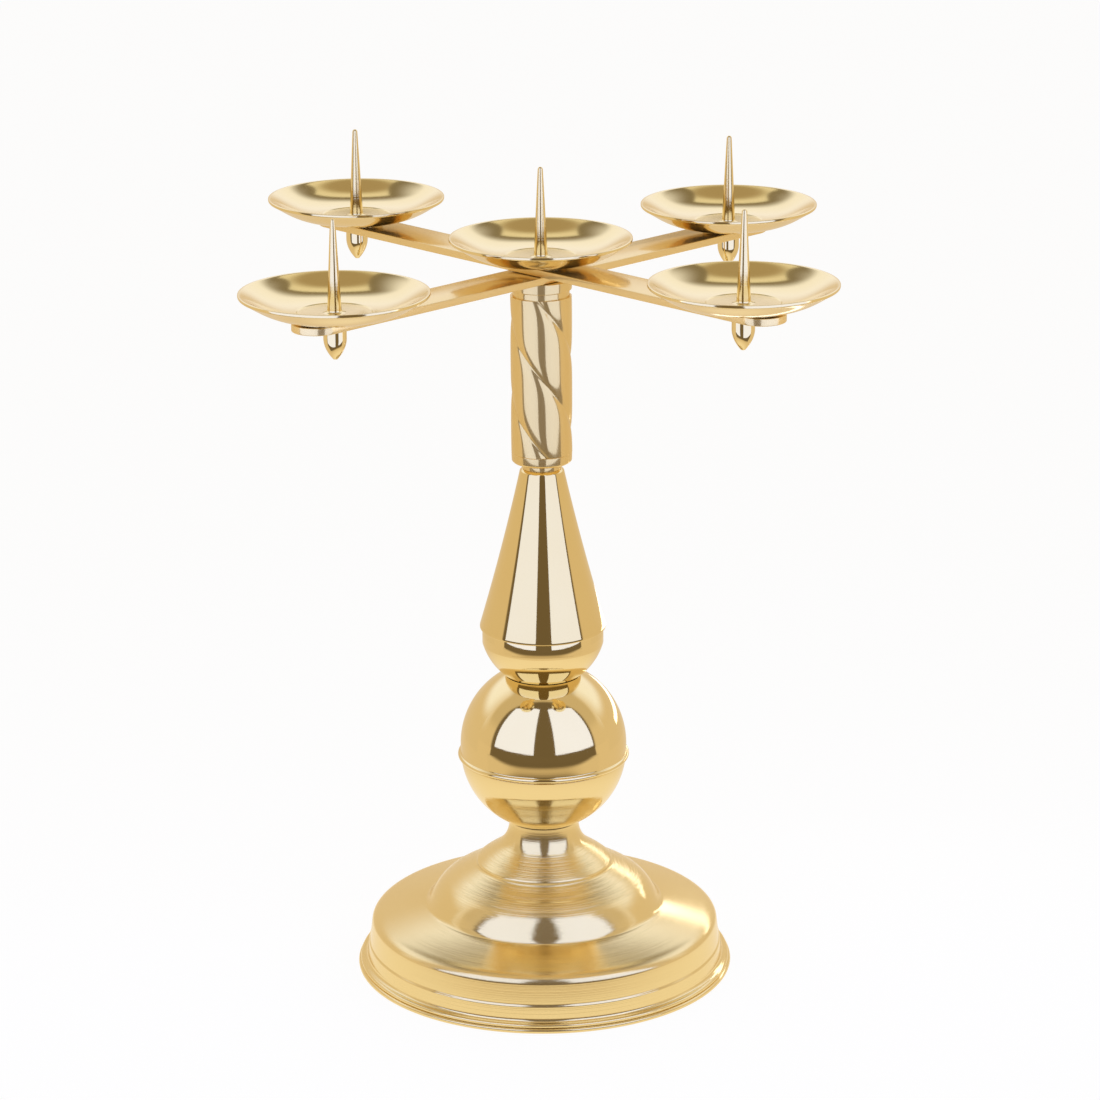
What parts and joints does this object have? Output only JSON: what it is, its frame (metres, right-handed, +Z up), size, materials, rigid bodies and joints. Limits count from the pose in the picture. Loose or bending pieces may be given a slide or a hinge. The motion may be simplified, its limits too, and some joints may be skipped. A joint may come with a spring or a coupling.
{
  "type": "advent candle holder",
  "caption": "Brass advent candle holder: a spun foot, ball, cup and cone carry a twisted pillar and crossed swivelling arms with spiked drip plates.",
  "frame": {"origin": "centre of the foot's rim on the table, under the pillar's axis", "axes": "+Z up along the stem; the arms lie on the diagonals of X and Y, and the picture looks along +Y"},
  "size_m": [0.2492, 0.2492, 0.3696],
  "materials": {
    "foot_brass": "spun and polished, with fine turning lines",
    "ball_brass": "polished",
    "pillar_brass": "turned and lightly polished",
    "bar_brass": "satin",
    "plate_brass": "satin, spun",
    "spike_brass": "polished",
    "steel": "zinc plated",
    "iron": "as cast"
  },
  "bodies": {
    "stand": {"base_shell": "foot_brass", "ballast_disc": "iron", "base_washer": "steel", "base_nut": "steel", "tie_rod": "steel", "ball_lower_shell": "ball_brass", "ball_upper_shell": "ball_brass", "cup": "ball_brass", "cone": "ball_brass", "collar": "pillar_brass", "pillar_foot": "pillar_brass", "pillar": "pillar_brass", "pillar_cap": "pillar_brass", "centre_drip_plate": "plate_brass", "centre_spike": "spike_brass"},
    "lower_arm": {"lower_bar": "bar_brass", "drip_plate_front_left": "plate_brass", "spike_front_left": "spike_brass", "finial_nut_front_left": "pillar_brass", "drip_plate_back_right": "plate_brass", "spike_back_right": "spike_brass", "finial_nut_back_right": "pillar_brass"},
    "upper_arm": {"upper_bar": "bar_brass", "drip_plate_front_right": "plate_brass", "spike_front_right": "spike_brass", "finial_nut_front_right": "pillar_brass", "drip_plate_back_left": "plate_brass", "spike_back_left": "spike_brass", "finial_nut_back_left": "pillar_brass"}
  },
  "joints": [
    {"name": "lower_arm_swivel", "type": "hinge", "parent": "stand", "child": "lower_arm", "pos_m": [0, 0, 0.32221], "axis": [0, 0, 1], "continuous": true},
    {"name": "upper_arm_swivel", "type": "hinge", "parent": "lower_arm", "child": "upper_arm", "pos_m": [0, 0, 0.32571], "axis": [0, 0, 1], "range_deg": [-50, 50]}
  ]
}
